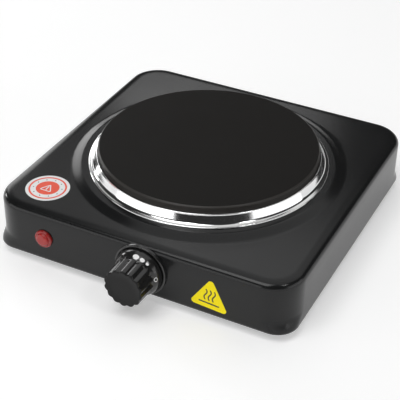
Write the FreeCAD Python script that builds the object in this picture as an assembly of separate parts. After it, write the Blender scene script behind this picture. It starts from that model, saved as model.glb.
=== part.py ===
import FreeCAD, Part
import math
import os

os.makedirs("parts", exist_ok=True)

V = FreeCAD.Vector
X_AXIS = V(1, 0, 0)
Y_AXIS = V(0, 1, 0)
Z_AXIS = V(0, 0, 1)

# ---------------------------------------------------------------- driving dimensions (mm)
# +Z is up, -Y is the control side, the origin is below the middle of the whole burner on the worktop.
width = 256.0
depth = 252.0
wall_height = 43.2
foot_drop = 8.0
sheet = 0.8
corner_radius = 26.2
foot_corner_radius = 17.5
flare_height = 11.0
edge_fillet = 5.5

plateau_rise = 2.5
plateau_radius = 103.7
ramp_radius = 111.6
opening_radius = 92.0

plate_radius = 90.0
plate_top = 68.3
plate_chamfer = 1.2
shoulder_radius = 85.6
shoulder_z = 61.1
plate_bottom = 56.4
boss_radius = 12.0
stud_radius = 4.0

ring_outer_radius = 98.0
ring_crest_z = 62.5
ring_sheet = 0.5

knob_x = 6.9
knob_height = 21.8
knob_reach = 28.0
skirt_radius = 19.3
grip_radius = 16.0
flute_count = 14

lamp_x = -79.2
lamp_height = 19.8
lamp_radius = 7.6

gland_x = -70.0
gland_height = 18.0
gland_reach = 5.0
gland_bore_radius = 3.8

# ---------------------------------------------------------------- derived places
half_w = width / 2
half_d = depth / 2
mid_y = (knob_reach - gland_reach) / 2
front_y = mid_y - half_d
back_y = mid_y + half_d
wall_bottom = foot_drop
deck_z = foot_drop + wall_height
plateau_z = deck_z + plateau_rise
knob_z = foot_drop + knob_height
lamp_z = foot_drop + lamp_height
gland_z = foot_drop + gland_height
panel_in_y = front_y + sheet
base_z = wall_bottom + 2.0
base_sheet = 0.8
base_top = base_z + base_sheet

centre = V(0, mid_y, 0)


# ---------------------------------------------------------------- helpers
def box(x0, x1, y0, y1, z0, z1):
    return Part.makeBox(x1 - x0, y1 - y0, z1 - z0, V(x0, y0, z0))


def rod(radius, start, length, axis=Z_AXIS):
    return Part.makeCylinder(radius, length, start, axis)


def pipe(outer, inner, start, length, axis=Z_AXIS):
    return rod(outer, start, length, axis).cut(rod(inner, start, length, axis))


def hexagon(across_flats, start, height):
    corner = across_flats / math.sqrt(3)
    points = [start + V(corner * math.cos(k * math.pi / 3), corner * math.sin(k * math.pi / 3), 0)
              for k in range(7)]
    return Part.Face(Part.makePolygon(points)).extrude(V(0, 0, height))


def rounded_rectangle(w, d, r, z):
    a, b = w / 2 - r, d / 2 - r
    edges = []
    corners = [(a, b, 0), (-a, b, 90), (-a, -b, 180), (a, -b, 270)]
    for k, (cx, cy, turn) in enumerate(corners):
        arc = Part.makeCircle(r, V(cx, mid_y + cy, z), Z_AXIS, turn, turn + 90)
        nx, ny, next_turn = corners[(k + 1) % 4]
        far = math.radians(next_turn)
        end = V(nx + r * math.cos(far), mid_y + ny + r * math.sin(far), z)
        edges += [arc, Part.LineSegment(arc.Vertexes[-1].Point, end).toShape()]
    return Part.Wire(edges)


def slab(w, d, r, z0, z1):
    return Part.Face(rounded_rectangle(w, d, r, z0)).extrude(V(0, 0, z1 - z0))


def turned(points, base, axis=Z_AXIS):
    """Solid of revolution: points are (radius, distance along axis)."""
    side = X_AXIS
    wire = Part.makePolygon([base + side * r + axis * h for r, h in points + points[:1]])
    return Part.Face(wire).revolve(base, axis, 360)


def torus(radius, thickness, z):
    return Part.makeTorus(radius, thickness, V(0, mid_y, z))


def slot(cx, cy, length, w, z0, z1):
    straight = length / 2 - w / 2
    body = box(cx - straight, cx + straight, cy - w / 2, cy + w / 2, z0, z1)
    for side in (-1, 1):
        body = body.fuse(rod(w / 2, V(cx + side * straight, cy, z0), z1 - z0))
    return body.removeSplitter()


def pan_screw(tip, axis, shank_radius, head_radius, length, head_height):
    """Pan-head screw: tip is the centre of the shank's free end, axis points from tip to head."""
    shank = rod(shank_radius, tip, length, axis)
    head = rod(head_radius, tip + axis * length, head_height, axis)
    top = [e for e in head.Edges if abs((e.CenterOfMass - tip).dot(axis) - length - head_height) < 1e-6]
    head = head.makeFillet(head_height * 0.45, top)
    recess_depth = head_height * 0.5
    side = axis.cross(X_AXIS if abs(axis.x) < 0.5 else Z_AXIS)
    other = axis.cross(side)
    recess = None
    for direction in (side, other):
        across = axis.cross(direction)
        start = tip + axis * (length + head_height - recess_depth)
        start = start - direction * head_radius * 0.6 - across * 0.5
        end = start + direction * head_radius * 1.2
        outline = Part.makePolygon([start, end, end + across, start + across, start])
        bar = Part.Face(outline).extrude(axis * head_height)
        recess = bar if recess is None else recess.fuse(bar)
    return shank.fuse(head).cut(recess).removeSplitter()


def wire_run(points, radius):
    """Insulated lead: straight runs joined by tangent arcs."""
    points = [V(*p) for p in points]
    edges = []
    last = points[0]
    for a, b, c in zip(points, points[1:], points[2:]):
        u = (b - a).normalize()
        w = (c - b).normalize()
        turn = math.acos(max(-1, min(1, u.dot(w))))
        run = min((b - a).Length, (c - b).Length)
        cut_back = 0.45 * run
        bend = cut_back / math.tan(turn / 2)
        enter, leave = b - u * cut_back, b + w * cut_back
        inward = (w - u).normalize()
        middle = b + inward * (bend / math.cos(turn / 2) - bend)
        edges += [Part.LineSegment(last, enter).toShape(), Part.Arc(enter, middle, leave).toShape()]
        last = leave
        print("lead bend radius %.1f" % bend)
    edges.append(Part.LineSegment(last, points[-1]).toShape())
    path = Part.Wire(edges)
    section = Part.Wire([Part.makeCircle(radius, points[0], (points[1] - points[0]).normalize())])
    lead = path.makePipeShell([section], True, False)
    print("lead volume ratio %.3f" % (lead.Volume / (math.pi * radius ** 2 * path.Length)))
    return lead


def group(solids):
    return Part.makeCompound(solids)


nodes = {}

# ---------------------------------------------------------------- housing shell
def shell_body(inset, top_cut):
    """Drawn box with rounded top edges whose corners flare out at the foot."""
    w, d = width - 2 * inset, depth - 2 * inset
    flare_top = wall_bottom + flare_height
    upper = slab(w, d, corner_radius - inset, flare_top, deck_z - top_cut)
    rim = [e for e in upper.Edges if all(abs(v.Z - deck_z + top_cut) < 1e-6 for v in e.Vertexes)]
    upper = upper.makeFillet(edge_fillet - top_cut, rim)
    wires = []
    steps = 4
    for k in range(steps + 1):
        share = k / steps
        ease = share * share * (3 - 2 * share)
        r = foot_corner_radius + (corner_radius - foot_corner_radius) * ease - inset
        wires.append(rounded_rectangle(w, d, r, wall_bottom + flare_height * share))
    lower = Part.makeLoft(wires, True, False)
    return upper.fuse(lower)


outer = shell_body(0, 0)
plateau = Part.makeCone(ramp_radius, plateau_radius, plateau_rise, V(0, mid_y, deck_z))
outer = outer.fuse(plateau).removeSplitter()
soft = [e for e in outer.Edges if isinstance(e.Curve, Part.Circle)
        and min(abs(e.Curve.Radius - plateau_radius), abs(e.Curve.Radius - ramp_radius)) < 1e-3]
outer = outer.makeFillet(2.5, soft)
inner = shell_body(sheet, sheet)
inner = inner.fuse(Part.makeCone(ramp_radius, plateau_radius, plateau_rise, V(0, mid_y, deck_z - sheet)))
shell = outer.cut(inner)
shell = shell.cut(rod(opening_radius, V(0, mid_y, deck_z - 5), 20))

bush_radius = 5.0
lamp_neck_radius = 6.3
stat_screw_offset = 13.0
shell = shell.cut(rod(bush_radius + 0.2, V(knob_x, front_y - 1, knob_z), 3, Y_AXIS))
for side in (-1, 1):
    shell = shell.cut(rod(1.7, V(knob_x + side * stat_screw_offset, front_y - 1, knob_z), 3, Y_AXIS))
shell = shell.cut(rod(lamp_neck_radius + 0.15, V(lamp_x, front_y - 1, lamp_z), 3, Y_AXIS))
gland_neck_radius = 7.0
shell = shell.cut(rod(gland_neck_radius + 0.15, V(gland_x, back_y - 2, gland_z), 4, Y_AXIS))
nodes["housing_shell"] = shell

# ---------------------------------------------------------------- base cover with vents, brackets and feet
cover_gap = 0.6
cover_w = width - 2 * (sheet + cover_gap)
cover_d = depth - 2 * (sheet + cover_gap)
cover_r = foot_corner_radius + 0.5
rim_drop = 1.6
cover = slab(cover_w, cover_d, cover_r, base_z - rim_drop, base_top)
cover = cover.cut(slab(cover_w - 2 * base_sheet, cover_d - 2 * base_sheet, cover_r - base_sheet,
                       base_z - rim_drop, base_z))

foot_x, foot_y = 96.0, 92.0
foot_places = [(sx * foot_x, mid_y + sy * foot_y) for sx in (-1, 1) for sy in (-1, 1)]
bracket_x, bracket_y = 117.0, 55.0
bracket_places = [(sx * bracket_x, mid_y + sy * bracket_y) for sx in (-1, 1) for sy in (-1, 1)]
vent_length, vent_width, vent_pitch, vent_rows = 46.0, 4.0, 9.0, 9
vents = []
for column in (-1, 0, 1):
    for row in range(vent_rows):
        vent_y = mid_y + (row - (vent_rows - 1) / 2) * vent_pitch
        vents.append(slot(column * 56.0, vent_y, vent_length, vent_width, base_z - 1, base_top + 1))
cover = cover.cut(group(vents))
foot_screw_radius = 2.0
for x, y in foot_places:
    cover = cover.cut(rod(foot_screw_radius + 0.1, V(x, y, base_z - 1), 3))
for x, y in bracket_places:
    cover = cover.cut(rod(2.2, V(x, y, base_z - 1), 3))
block_x, block_y = -22.0, mid_y + 92.0
cover = cover.cut(rod(1.6, V(block_x, block_y, base_z - 1), 3))
nodes["base_cover"] = cover

bracket_sheet = 1.5
brackets, base_screws = [], []
for x, y in bracket_places:
    side = 1 if x > 0 else -1
    wall = side * (half_w - sheet)
    x0, x1 = sorted((wall, wall - side * 20.0))
    tab = box(x0, x1, y - 9, y + 9, base_top, base_top + bracket_sheet)
    x0, x1 = sorted((wall, wall - side * bracket_sheet))
    upright = box(x0, x1, y - 9, y + 9, base_top, base_top + 18)
    tab = tab.fuse(upright).removeSplitter()
    brackets.append(tab.cut(rod(2.05, V(x, y, base_top - 1), 5)))
    base_screws.append(pan_screw(V(x, y, base_z + 9), V(0, 0, -1), 2.0, 3.6, 9.0, 1.8))
nodes["cover_brackets"] = group(brackets)
nodes["base_screws"] = group(base_screws)

foot_profile = [(2.1, 4.5), (4.6, 4.5), (4.6, 0), (8.2, 0), (8.9, 0.9), (10.0, base_z), (2.1, base_z)]
feet, foot_screws, foot_nuts = [], [], []
for x, y in foot_places:
    feet.append(turned(foot_profile, V(x, y, 0)))
    foot_screws.append(pan_screw(V(x, y, base_top + 4.2), V(0, 0, -1), foot_screw_radius, 3.8,
                                 base_top - 0.3, 2.0))
    nut = hexagon(7.0, V(x, y, base_top), 3.2)
    foot_nuts.append(nut.cut(rod(foot_screw_radius + 0.02, V(x, y, base_top), 3.2)))
nodes["rubber_feet"] = group(feet)
nodes["foot_screws"] = group(foot_screws)
nodes["foot_nuts"] = group(foot_nuts)

# ---------------------------------------------------------------- cast plate, buried coils and underside
groove_radii = [36.0, 52.0, 68.0]
groove_half = 4.0
groove_top = 61.6
boss_foot = 44.6
plate_profile = [(0, plate_top), (plate_radius - plate_chamfer, plate_top),
                 (plate_radius, plate_top - plate_chamfer),
                 (plate_radius, shoulder_z), (shoulder_radius, shoulder_z), (shoulder_radius, plate_bottom),
                 (boss_radius, plate_bottom), (boss_radius, boss_foot), (0, boss_foot)]
plate = turned(plate_profile, centre)
fills, coils = [], []
coil_z = (plate_bottom + groove_top) / 2
for r in groove_radii:
    groove = pipe(r + groove_half, r - groove_half, V(0, mid_y, plate_bottom), groove_top - plate_bottom)
    plate = plate.cut(groove)
    fills.append(groove.cut(torus(r, 1.8, coil_z)))
    coils.append(torus(r, 1.75, coil_z))
stud_depth = 62.0
plate = plate.cut(rod(stud_radius + 0.02, V(0, mid_y, 40), stud_depth - 40))
nodes["hot_plate"] = plate
nodes["insulating_fill"] = group(fills)
nodes["heating_coils"] = group(coils)

disc_z = plate_bottom - 0.8
disc_radius = 84.0
cover_disc = pipe(disc_radius, boss_radius + 0.3, V(0, mid_y, disc_z), 0.8)
post_y = mid_y + 44.0
post_places = [(-12.0, post_y), (0.0, post_y), (12.0, post_y)]
nodes["underside_disc"] = cover_disc

block = box(-19, 19, post_y - 7, post_y + 7, 43.0, plate_bottom - 0.8)
upright = [e for e in block.Edges if abs(e.Length - (plate_bottom - 0.8 - 43.0)) < 1e-6]
block = block.makeFillet(2.0, upright)
for x, y in post_places:
    block = block.cut(rod(1.55, V(x, y, 42), 16))
nodes["plate_terminal_block"] = block
pins = []
for x, y in post_places:
    pin = rod(1.5, V(x, y, 38.0), plate_bottom - 0.8 - 38.0)
    blade = box(x - 0.4, x + 0.4, y - 3.15, y + 3.15, 29.0, 38.0)
    pins.append(pin.fuse(blade).removeSplitter())
nodes["plate_terminals"] = group(pins)

shield_z = 44.0
shield_sheet = 0.6
shield_radius = 88.0
shield_rim = 5.0
shield = pipe(shield_radius, stud_radius + 0.4, V(0, mid_y, shield_z), shield_sheet)
shield = shield.fuse(pipe(shield_radius, shield_radius - shield_sheet, V(0, mid_y, shield_z), shield_rim))
shield = shield.removeSplitter()
shield = shield.cut(box(-22, 22, post_y - 10, post_y + 10, shield_z - 1, shield_z + 2))
nodes["heat_shield"] = shield

# The clamp bar bears on the underside of the raised rim and the stud pulls the plate down onto the ring.
bar_sheet = 1.5
bar_half_width = 11.0
bar_low = shield_z - bar_sheet
bar_high = plateau_z - sheet
leg_in, leg_out = 90.2, 101.0
bar_outline = [(-leg_out, bar_high), (-leg_in, bar_high), (-leg_in, shield_z), (leg_in, shield_z),
               (leg_in, bar_high), (leg_out, bar_high), (leg_out, bar_high - bar_sheet),
               (leg_in + bar_sheet, bar_high - bar_sheet), (leg_in + bar_sheet, bar_low),
               (-leg_in - bar_sheet, bar_low), (-leg_in - bar_sheet, bar_high - bar_sheet),
               (-leg_out, bar_high - bar_sheet)]
bar_points = [V(x, mid_y - bar_half_width, z) for x, z in bar_outline + bar_outline[:1]]
bar = Part.Face(Part.makePolygon(bar_points)).extrude(V(0, 2 * bar_half_width, 0))
bar = bar.cut(pipe(200, plateau_radius - 1, V(0, mid_y, 30), 40))
bar = bar.cut(rod(stud_radius + 0.4, V(0, mid_y, 30), 20))
nodes["clamp_bar"] = bar

washer_height, nut_height = 1.6, 6.5
nodes["clamp_washer"] = pipe(8.0, stud_radius + 0.3, V(0, mid_y, bar_low - washer_height), washer_height)
nut_z = bar_low - washer_height - nut_height
clamp_nut = hexagon(13.0, V(0, mid_y, nut_z), nut_height)
nodes["clamp_nut"] = clamp_nut.cut(rod(stud_radius + 0.02, V(0, mid_y, nut_z), nut_height))
stud = rod(stud_radius, V(0, mid_y, nut_z - 4), stud_depth - 1 - nut_z + 4)
nodes["centre_stud"] = stud.makeChamfer(0.8, [e for e in stud.Edges if e.Length < 30 and e.Length > 20])

# ---------------------------------------------------------------- chrome spill ring
# One sheet: rounded rim on the plateau, steep flank, crest beside the plate,
# and a flange clamped under the plate's shoulder.
rim_z = plateau_z + ring_sheet + 0.75
crest_out = plate_radius + 1.5
ring_inner = plate_radius + 0.2
crest_mid = (crest_out + ring_inner) / 2
crest_base = ring_crest_z - (crest_out - ring_inner) / 2
flange_z = shoulder_z - 0.02
rim_arc = Part.Arc(V(ring_outer_radius, 0, plateau_z + 0.15), V(ring_outer_radius - 0.32, 0, rim_z - 0.32),
                   V(ring_outer_radius - 1.1, 0, rim_z))
flank = Part.BSplineCurve()
flank.interpolate([V(ring_outer_radius - 1.1, 0, rim_z), V(ring_outer_radius - 3.4, 0, rim_z + 0.25),
                   V(crest_out + 1.1, 0, rim_z + 3.2), V(crest_out, 0, crest_base)])
crest = Part.Arc(V(crest_out, 0, crest_base), V(crest_mid, 0, ring_crest_z), V(ring_inner, 0, crest_base))


def under_points(curve, count):
    """Points one sheet thickness behind a curve's visible side."""
    points = []
    for k in range(count):
        t = curve.FirstParameter + (curve.LastParameter - curve.FirstParameter) * k / (count - 1)
        tangent = curve.tangent(t)[0]
        points.append(curve.value(t) + V(tangent.z, 0, -tangent.x) * -ring_sheet)
    return points


flank_under = under_points(flank, 9)
rim_under = under_points(rim_arc, 3)[:2] + [flank_under[0]]
crest_under = [flank_under[-1]] + under_points(crest, 3)[1:]
under_spline = Part.BSplineCurve()
under_spline.interpolate(flank_under)
inside = [crest_under[-1], V(ring_inner + ring_sheet, 0, flange_z - ring_sheet),
          V(shoulder_radius + 0.4, 0, flange_z - ring_sheet), V(shoulder_radius + 0.4, 0, flange_z),
          V(ring_inner, 0, flange_z), V(ring_inner, 0, crest_base)]
ring_edges = [rim_arc.toShape(), flank.toShape(), crest.toShape()]
ring_edges += [Part.Arc(*crest_under).toShape(), under_spline.toShape(), Part.Arc(*rim_under).toShape()]
ring_edges += [Part.LineSegment(a, b).toShape() for a, b in zip(inside, inside[1:])]
ring_edges.append(Part.LineSegment(rim_under[0], V(ring_outer_radius, 0, plateau_z + 0.15)).toShape())
ring_face = Part.Face(Part.Wire(Part.__sortEdges__(ring_edges)))
ring_face.translate(centre)
nodes["spill_ring"] = ring_face.revolve(centre, Z_AXIS, 360)

# ---------------------------------------------------------------- thermostat behind the control panel
def behind(distance):
    """Point on the knob axis, measured inwards from the inner face of the control panel."""
    return V(knob_x, panel_in_y + distance, knob_z)


def stat_box(x0, x1, d0, d1, z0, z1):
    return box(knob_x + x0, knob_x + x1, panel_in_y + d0, panel_in_y + d1, knob_z + z0, knob_z + z1)


bush_end = 12.0
shaft_end = 15.0
shaft_radius = 3.0
pin_radius = 1.5
pin_rear = 20.0
column_z = -9.2
leaf = 0.4
frame_plate = stat_box(-17, 17, 0, 1.2, -14, 11)
frame_foot = stat_box(-9, 9, 0, 38, -14, -12.8)
frame = frame_plate.fuse(frame_foot).removeSplitter()
frame = frame.cut(rod(bush_radius + 0.02, behind(-1), 4, Y_AXIS))
for side in (-1, 1):
    frame = frame.cut(rod(1.55, behind(-1) + V(side * stat_screw_offset, 0, 0), 4, Y_AXIS))
nodes["thermostat_frame"] = frame

bush = rod(bush_radius, behind(-sheet - 1.2), bush_end + sheet + 1.2, Y_AXIS)
collar = rod(5.8, behind(1.2), 2.0, Y_AXIS)
bush = bush.fuse(collar).cut(rod(shaft_radius + 0.05, behind(-5), 30, Y_AXIS)).removeSplitter()
nodes["thermostat_bush"] = bush

screw_reach = 7.0
nodes["thermostat_screws"] = group([
    pan_screw(V(knob_x + side * stat_screw_offset, front_y + screw_reach, knob_z), Y_AXIS * -1,
              1.5, 2.7, screw_reach, 1.3) for side in (-1, 1)])

# Blades and ceramic spacers alternate along one rivet, and the pin presses the first blade.
blade_places = [pin_rear + 0.05, 26.0, 31.0]
blade_tops = [6.0, 9.0, 10.0]
spacers, blades = [], []
spacer_radius = 3.2
last = 1.2
for place, top in zip(blade_places, blade_tops):
    spacers.append(pipe(spacer_radius, 1.62, behind(last) + V(0, 0, column_z), place - last, Y_AXIS))
    blade = stat_box(-2.6, 2.6, place, place + leaf, column_z - 3.0, top)
    blades.append(blade.cut(rod(1.62, behind(place - 1) + V(0, 0, column_z), 3, Y_AXIS)))
    last = place + leaf
spacers.append(pipe(spacer_radius, 1.62, behind(last) + V(0, 0, column_z), 3.0, Y_AXIS))
nodes["thermostat_insulators"] = group(spacers)
nodes["pressure_blade"] = blades[0]
nodes["contact_blade"] = blades[1]
nodes["bimetal_blade"] = blades[2]
rivet_length = last + 3.0 - 1.2
rivet = rod(1.6, behind(1.2) + V(0, 0, column_z), rivet_length, Y_AXIS)
nodes["blade_rivet"] = rivet.fuse(rod(2.8, behind(1.2 + rivet_length) + V(0, 0, column_z), 1.2, Y_AXIS))
contact_gap = blade_places[1] - blade_places[0] - leaf
button_height = contact_gap / 2 - 0.1
button_up = V(0, 0, 4.2)
contacts = [rod(1.4, behind(blade_places[0] + leaf) + button_up, button_height, Y_AXIS),
            rod(1.4, behind(blade_places[1] - button_height) + button_up, button_height, Y_AXIS)]
nodes["contact_buttons"] = group(contacts)
tab_x, tab_reach = 8.0, 43.0
tabs = []
for index, side in ((1, -1), (2, 1)):
    start = blade_places[index] + leaf
    x0, x1 = sorted((side * 2.6, side * tab_x))
    arm = stat_box(x0, x1, blade_places[index], start, column_z - 3.0, column_z + 3.0)
    lug = stat_box(side * tab_x - 0.4, side * tab_x + 0.4, blade_places[index], tab_reach,
                   column_z - 3.0, column_z + 3.0)
    tabs.append(arm.fuse(lug).removeSplitter())
nodes["thermostat_tabs"] = group(tabs)

# ---------------------------------------------------------------- turning parts: shaft, pin, knob and clip
shaft_front = -sheet - 22.0
shaft = rod(shaft_radius, behind(shaft_front), shaft_end - shaft_front, Y_AXIS)
flat_depth = 1.4
flat_length = 14.0
shaft = shaft.cut(stat_box(-5, 5, shaft_front - 1, shaft_front + flat_length, shaft_radius - flat_depth, 5))
shaft = shaft.cut(rod(pin_radius + 0.05, behind(shaft_end - 8), 10, Y_AXIS))
groove_at = bush_end + 0.3
groove_wide = 0.8
shaft = shaft.cut(pipe(5, 2.3, behind(groove_at), groove_wide, Y_AXIS))
nodes["thermostat_shaft"] = shaft
circlip = pipe(4.6, 2.32, behind(groove_at + 0.05), groove_wide - 0.1, Y_AXIS)
circlip = circlip.cut(stat_box(-1.6, 1.6, groove_at - 1, groove_at + 2, -6, 0))
nodes["shaft_circlip"] = circlip
pin = rod(pin_radius, behind(shaft_end - 5.5), pin_rear - shaft_end + 5.5, Y_AXIS)
nodes["contact_pin"] = pin

# The dial plate is a raised ring round the skirt, with the index tab at the top.
dial_radius = 21.6
dial_rim = 1.5
dial_floor = 0.8
dial_height = 2.6
outward = Y_AXIS * -1
panel_point = V(knob_x, front_y, knob_z)
dial_hub = 6.0
dial = turned([(dial_hub, 0), (dial_radius, 0), (dial_radius, dial_height - 0.7),
               (dial_radius - 0.7, dial_height), (dial_radius - dial_rim + 0.2, dial_height),
               (dial_radius - dial_rim, dial_height - 0.2), (dial_radius - dial_rim, dial_floor),
               (dial_hub, dial_floor)], panel_point, outward)
tab_half = 0.9
index_tab = box(knob_x - tab_half, knob_x + tab_half, front_y - dial_height - 0.5, front_y,
                knob_z + dial_radius - dial_rim + 0.1, knob_z + dial_radius - 0.2)
dial = dial.fuse(index_tab).removeSplitter()
for side in (-1, 1):
    dial = dial.cut(rod(3.1, panel_point + V(side * stat_screw_offset, 1, 0), 5, outward))
nodes["dial_plate"] = dial

# Knob: hollow domed skirt that runs into a fluted grip with a flat face.
skirt_base = 1.6
skirt_profile = [(0, skirt_base), (18.7, skirt_base), (skirt_radius, 2.6), (skirt_radius, 5.5), (18.9, 7.6),
                 (17.9, 9.6), (16.3, 11.2), (14.4, 12.4), (12.0, 13.2), (0, 13.2)]
skirt = turned(skirt_profile, panel_point, outward)
hollow = turned([(0, skirt_base - 1), (17.2, skirt_base - 1), (17.2, 6.0), (15.0, 9.4), (0, 9.4)],
                panel_point, outward)
grip_start = 7.0
grip_profile = [(0, grip_start), (grip_radius + 0.6, grip_start), (grip_radius, knob_reach - 1.0),
                (grip_radius - 0.3, knob_reach - 0.3), (grip_radius - 1.0, knob_reach), (0, knob_reach)]
grip = turned(grip_profile, panel_point, outward)
flute_radius = 1.55
flute_ring = grip_radius + 0.55
flutes = []
for k in range(flute_count):
    angle = 2 * math.pi * (k + 0.5) / flute_count
    spot = panel_point + V(flute_ring * math.sin(angle), -12.0, flute_ring * math.cos(angle))
    flutes.append(rod(flute_radius, spot, knob_reach, outward))
grip = grip.cut(group(flutes))
knob = skirt.fuse(grip).cut(hollow)
hub = rod(6.5, panel_point + outward * 3.2, 8.0, outward)
knob = knob.fuse(hub)
socket_depth = 23.2
knob = knob.cut(rod(shaft_radius + 0.6, panel_point, socket_depth, outward)).removeSplitter()
nodes["knob"] = knob
clip = pipe(shaft_radius + 0.55, shaft_radius + 0.05, panel_point + outward * 10.5, 10.0, outward)
clip = clip.cut(box(knob_x - 1.2, knob_x + 1.2, front_y - 40, front_y, knob_z - 6, knob_z))
nodes["knob_clip"] = clip

# ---------------------------------------------------------------- pilot lamp
lamp_point = V(lamp_x, front_y, lamp_z)
lens_reach = 4.2
lens_profile = [(0, 0), (lamp_radius, 0), (lamp_radius, 1.2), (lamp_radius - 0.8, 2.0),
                (lamp_radius - 1.9, 2.0), (lamp_radius - 2.3, 3.2), (lamp_radius - 3.4, lens_reach - 0.2),
                (0, lens_reach)]
lens = turned(lens_profile, lamp_point, outward)
neck = rod(lamp_neck_radius, lamp_point, 14.0, Y_AXIS)
lens = lens.fuse(neck)
lens = lens.cut(rod(4.2, lamp_point + outward * 1.0, 16.0, Y_AXIS)).removeSplitter()
nodes["pilot_lens"] = lens
neon_start = lamp_point + Y_AXIS * 2.4
neon = rod(2.8, neon_start, 11.0, Y_AXIS)
neon = neon.fuse(Part.makeSphere(2.8, neon_start))
nodes["neon_bulb"] = neon.cut(rod(1.9, neon_start + Y_AXIS * 1.0, 9.0, Y_AXIS)).removeSplitter()
lamp_back = pipe(lamp_neck_radius, 1.0, lamp_point + Y_AXIS * 14.0, 4.0, Y_AXIS)
nodes["lamp_back_cap"] = lamp_back
washer = pipe(9.2, lamp_neck_radius + 0.1, lamp_point + Y_AXIS * sheet, 1.0, Y_AXIS)
for k in range(6):
    angle = k * math.pi / 3
    notch = rod(1.0, lamp_point + V(8.9 * math.cos(angle), 0, 8.9 * math.sin(angle)), 4.0, Y_AXIS)
    washer = washer.cut(notch)
nodes["lamp_retainer"] = washer

# ---------------------------------------------------------------- mains inlet: gland and terminal block
gland_point = V(gland_x, back_y, gland_z)
gland = turned([(gland_bore_radius, -6.0), (gland_neck_radius + 1.3, -6.0), (gland_neck_radius + 1.3, -4.6),
                (gland_neck_radius, -3.2), (gland_neck_radius, 0), (9.6, 0), (9.6, 1.6), (8.0, 2.6),
                (6.6, gland_reach), (gland_bore_radius, gland_reach)], gland_point, Y_AXIS)
ridge = pipe(9.0, gland_neck_radius, gland_point - Y_AXIS * (sheet + 1.4), 1.4, Y_AXIS)
gland = gland.fuse(ridge).removeSplitter()
nodes["cord_gland"] = gland

block_pitch = 11.0
block_high = 15.0
mains = box(block_x - 18, block_x + 18, block_y - 8, block_y + 8, base_top, base_top + block_high)
mains = mains.makeFillet(1.5, [e for e in mains.Edges if abs(e.Length - block_high) < 1e-6])
poles = [(block_x + k * block_pitch, block_y) for k in (-1, 0, 1)]
for x, y in poles:
    mains = mains.cut(rod(2.6, V(x, y - 10, base_top + 7), 20, Y_AXIS))
    mains = mains.cut(rod(2.1, V(x, y - 5, base_top + 7), 10))
    mains = mains.cut(rod(2.1, V(x, y + 5, base_top + 7), 10))
mains = mains.cut(rod(1.3, V(block_x + block_pitch / 2, block_y, base_top), block_high))
mains = mains.cut(rod(2.4, V(block_x + block_pitch / 2, block_y, base_top + 6), block_high))
nodes["mains_terminal_block"] = mains
sleeves, clamp_screws = [], []
for x, y in poles:
    sleeve = pipe(2.55, 1.7, V(x, y - 7.5, base_top + 7), 15, Y_AXIS)
    for shift in (-5, 5):
        sleeve = sleeve.cut(rod(1.25, V(x, y + shift, base_top + 7), 5))
        clamp_screws.append(rod(1.2, V(x, y + shift, base_top + 8.9), 3.2).fuse(
            rod(1.9, V(x, y + shift, base_top + 11.0), 1.6)))
    sleeves.append(sleeve)
nodes["terminal_sleeves"] = group(sleeves)
nodes["clamp_screws"] = group(clamp_screws)

# ---------------------------------------------------------------- leads
lead_radius, lamp_lead_radius = 1.3, 1.0
pole_z = base_top + 7
tab_z = knob_z + column_z
tab_y = panel_in_y + tab_reach
stat_lead = wire_run([(poles[0][0], block_y - 8.5, pole_z), (poles[0][0], block_y - 28, pole_z + 1.5),
                      (poles[0][0] - 10, mid_y + 22, pole_z + 1), (-30.0, mid_y - 22, pole_z - 1),
                      (-6.0, mid_y - 48, pole_z + 2), (knob_x - tab_x, tab_y + 16, tab_z + 1),
                      (knob_x - tab_x, tab_y + 0.6, tab_z)], lead_radius)
plate_lead = wire_run([(knob_x + tab_x, tab_y + 0.6, tab_z), (knob_x + tab_x, tab_y + 14, tab_z - 1),
                       (22.0, mid_y - 36, pole_z + 3), (24.0, mid_y - 4, pole_z + 2),
                       (17.0, mid_y + 24, pole_z + 1), (12.5, post_y - 4, 20.0),
                       (12.0, post_y, 28.6)], lead_radius)
neutral_lead = wire_run([(poles[1][0], block_y - 8.5, pole_z), (poles[1][0], block_y - 22, pole_z + 0.5),
                         (-17.0, post_y + 12, pole_z + 2), (-12.5, post_y + 3, 22.5),
                         (-12.0, post_y, 28.6)], lead_radius)
lamp_lead = wire_run([(lamp_x, front_y + 18.4, lamp_z), (lamp_x, front_y + 34, lamp_z - 2),
                      (lamp_x + 14, mid_y - 66, pole_z + 2), (lamp_x + 20, mid_y - 30, pole_z),
                      (lamp_x + 24, mid_y + 6, pole_z - 2), (lamp_x + 29, mid_y + 40, pole_z - 1),
                      (poles[0][0] - 6, block_y - 24, pole_z - 2.5),
                      (poles[0][0] - 3.2, block_y - 8.5, pole_z - 3.6)], lamp_lead_radius)
earth_lead = wire_run([(poles[2][0], block_y - 8.5, pole_z), (poles[2][0], block_y - 22, pole_z + 1),
                       (6.0, mid_y + 56, pole_z + 4), (30.0, mid_y + 50, pole_z + 3),
                       (52.0, mid_y + 62, pole_z), (60.0, mid_y + 76, base_top + 5.0),
                       (60.0, mid_y + 89.9, base_top + 3.4)], lead_radius)
nodes["switch_lead"] = stat_lead
nodes["element_lead"] = plate_lead
nodes["neutral_lead"] = neutral_lead
nodes["lamp_lead"] = lamp_lead
nodes["earth_lead"] = earth_lead

earth_point = V(60.0, mid_y + 98.0, base_top)
lug_ring = pipe(4.2, 2.05, earth_point + Z_AXIS * 2.4, 0.8)
barrel = rod(1.9, earth_point + V(0, -8.0, 3.4), 4.4, Y_AXIS)
barrel = barrel.common(box(50, 70, 0, 200, base_top + 2.4, base_top + 6))
nodes["earth_lug"] = lug_ring.fuse(barrel).removeSplitter()
earth_stud = rod(2.0, earth_point, 9.0)
nodes["earth_stud"] = earth_stud.fuse(rod(4.0, earth_point, 2.4)).removeSplitter()
nodes["earth_nut"] = hexagon(7.0, earth_point + Z_AXIS * 3.2, 3.2).cut(rod(2.02, earth_point, 10))

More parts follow.
